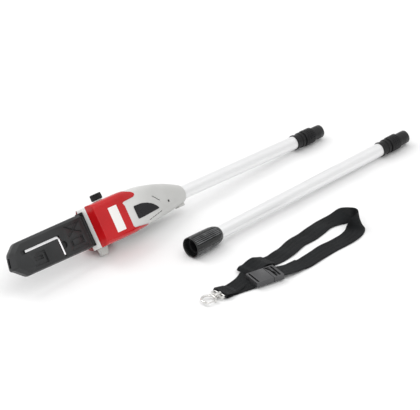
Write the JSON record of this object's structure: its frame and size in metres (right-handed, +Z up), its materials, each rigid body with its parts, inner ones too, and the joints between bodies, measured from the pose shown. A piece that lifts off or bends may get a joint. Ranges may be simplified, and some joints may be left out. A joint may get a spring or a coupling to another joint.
{
  "type": "sectional pole saw",
  "caption": "Powered saw head on a pole with sheathed guide bar, plug-on extension pole with fluted sleeve, and webbing shoulder strap with buckle and swivel hook.",
  "frame": {"origin": "centre of the laid-out set's bounding box, on the ground", "axes": "+X along the poles from the saw to the plugs, +Z up, -Y towards the shoulder strap"},
  "size_m": [1.0196, 0.4258, 0.1244],
  "materials": {
    "silver_plastic": "silver-grey painted plastic, satin",
    "red_plastic": "glossy red moulded plastic",
    "label": "plain off-white label",
    "badge": "black badge plate",
    "black_plastic": "black moulded plastic",
    "dark_plastic": "dark grey moulded plastic",
    "foot_plastic": "light grey moulded plastic",
    "tank_plastic": "translucent natural polythene",
    "scabbard_plastic": "textured black moulded plastic",
    "coupling_plastic": "black moulded plastic",
    "plug_plastic": "smooth black plastic",
    "sleeve_plastic": "ribbed black plastic",
    "buckle_plastic": "black acetal",
    "steel": "machined steel",
    "black_screw": "blackened screw",
    "bar_steel": "ground steel",
    "chain_steel": "oiled steel",
    "bright_steel": "bright plated steel",
    "magnet": "sintered ferrite",
    "copper_winding": "varnished copper winding",
    "cast_alloy": "die-cast alloy",
    "tube_aluminium": "bright drawn aluminium tube",
    "lead_sheath": "black lead sheath",
    "contact_brass": "plated brass",
    "seal_rubber": "black rubber",
    "webbing": "black woven nylon webbing",
    "hook_metal": "nickel-plated die cast"
  },
  "bodies": {
    "head": {"side_shell": "silver_plastic", "back_shell": "silver_plastic", "side_cover": "red_plastic", "label_plate": "label", "badge_plate": "badge", "front_guard": "black_plastic", "foot": "foot_plastic", "housing_screws": "black_screw", "nose_clamp": "dark_plastic", "clamp_screws": "steel", "oil_tank": "tank_plastic", "oil_pump": "dark_plastic", "gear_plate": "cast_alloy", "gear_case": "cast_alloy", "bar_pad": "cast_alloy", "bar_stud": "steel", "bearings": "bright_steel", "motor_can": "steel", "field_magnets": "magnet", "head_tube": "tube_aluminium", "head_lead": "lead_sheath", "head_coupling": "coupling_plastic", "head_plug": "plug_plastic", "head_contacts": "contact_brass", "head_seals": "seal_rubber"},
    "scabbard": {"scabbard": "scabbard_plastic"},
    "hex_key": {"hex_key": "bright_steel"},
    "spindle": {"spindle": "steel", "drive_gear": "steel", "drive_sprocket": "steel"},
    "armature": {"armature": "copper_winding", "pinion": "steel"},
    "oil_cap": {"oil_cap": "black_plastic", "cap_seal": "seal_rubber"},
    "sprocket_cover": {"sprocket_cover": "dark_plastic"},
    "cover_screw": {"cover_screw": "steel"},
    "tension_screw": {"tension_screw": "steel"},
    "bar": {"guide_bar": "bar_steel", "saw_chain": "chain_steel", "tension_nut": "steel"},
    "nose_sprocket": {"nose_sprocket": "steel"},
    "extension": {"ext_tube": "tube_aluminium", "ext_lead": "lead_sheath", "ext_coupling": "coupling_plastic", "ext_plug": "plug_plastic", "ext_contacts": "contact_brass", "ext_seals": "seal_rubber", "socket_liner": "plug_plastic"},
    "sleeve": {"coupling_sleeve": "sleeve_plastic"},
    "strap": {"strap_tail": "webbing", "strap_far": "webbing", "strap_turn": "webbing", "strap_near": "webbing", "strap_slider": "buckle_plastic", "buckle_socket": "buckle_plastic", "swivel_eye": "hook_metal"},
    "buckle_clip": {"buckle_clip": "buckle_plastic", "strap_lead": "webbing"},
    "hook": {"snap_hook": "hook_metal"},
    "gate": {"hook_gate": "hook_metal"}
  },
  "joints": [
    {"name": "scabbard_slide", "type": "slide", "parent": "head", "child": "scabbard", "axis": [-0.9987, 0, 0.0504], "range_m": [0, 0.25]},
    {"name": "hex_key_lift", "type": "slide", "parent": "scabbard", "child": "hex_key", "axis": [0.0315, -0.7815, 0.6231], "range_m": [0, 0.03]},
    {"name": "spindle_turn", "type": "hinge", "parent": "head", "child": "spindle", "pos_m": [-0.23826, 0.15224, 0.05511], "axis": [-0.0315, 0.7815, -0.6231], "continuous": true},
    {"name": "armature_turn", "type": "hinge", "parent": "head", "child": "armature", "pos_m": [-0.19182, 0.15224, 0.05277], "axis": [-0.0315, 0.7815, -0.6231], "continuous": true},
    {"name": "oil_cap_turn", "type": "hinge", "parent": "head", "child": "oil_cap", "pos_m": [-0.22235, 0.18281, 0.09265], "axis": [0.0394, 0.6239, 0.7805], "range_deg": [0, 540]},
    {"name": "sprocket_cover_off", "type": "slide", "parent": "head", "child": "sprocket_cover", "axis": [-0.0315, 0.7815, -0.6231], "range_m": [0, 0.08]},
    {"name": "cover_screw_turn", "type": "hinge", "parent": "sprocket_cover", "child": "cover_screw", "pos_m": [-0.27048, 0.1835, 0.03175], "axis": [-0.0315, 0.7815, -0.6231], "range_deg": [0, 1440]},
    {"name": "tension_screw_turn", "type": "hinge", "parent": "head", "child": "tension_screw", "pos_m": [-0.27347, 0.13928, 0.05187], "axis": [-0.9987, 0, 0.0504], "range_deg": [0, 1080]},
    {"name": "bar_tension", "type": "slide", "parent": "head", "child": "bar", "axis": [-0.9987, 0, 0.0504], "range_m": [0, 0.003]},
    {"name": "nose_sprocket_turn", "type": "hinge", "parent": "bar", "child": "nose_sprocket", "pos_m": [-0.46597, 0.15224, 0.06661], "axis": [-0.0315, 0.7815, -0.6231], "continuous": true},
    {"name": "extension_lift", "type": "slide", "parent": "head", "child": "extension", "axis": [0, 0, 1], "range_m": [0, 0.2]},
    {"name": "sleeve_turn", "type": "hinge", "parent": "extension", "child": "sleeve", "pos_m": [-0.09961, -0.0078, 0.02211], "axis": [0.9998, 0.0175, -0.0097], "continuous": true},
    {"name": "strap_lift", "type": "slide", "parent": "head", "child": "strap", "axis": [0, 0, 1], "range_m": [0, 0.2]},
    {"name": "buckle_release", "type": "slide", "parent": "strap", "child": "buckle_clip", "axis": [0.9781, -0.2079, 0], "range_m": [0, 0.026]},
    {"name": "hook_swivel", "type": "hinge", "parent": "strap", "child": "hook", "pos_m": [-0.205, -0.162, 0.0062], "axis": [1, 0, 0], "continuous": true},
    {"name": "gate_open", "type": "hinge", "parent": "hook", "child": "gate", "pos_m": [-0.23096, -0.17524, 0.0062], "axis": [0, 0, 1], "range_deg": [-40, 0], "stiffness_Nm_per_rad": 0.01, "springref_deg": 5.73}
  ],
  "couplings": [
    {"joint": "armature_turn", "follows": "spindle_turn", "ratio": -3.4286},
    {"joint": "tension_screw_turn", "follows": "bar_tension", "rad_per_m": 6282.6}
  ]
}
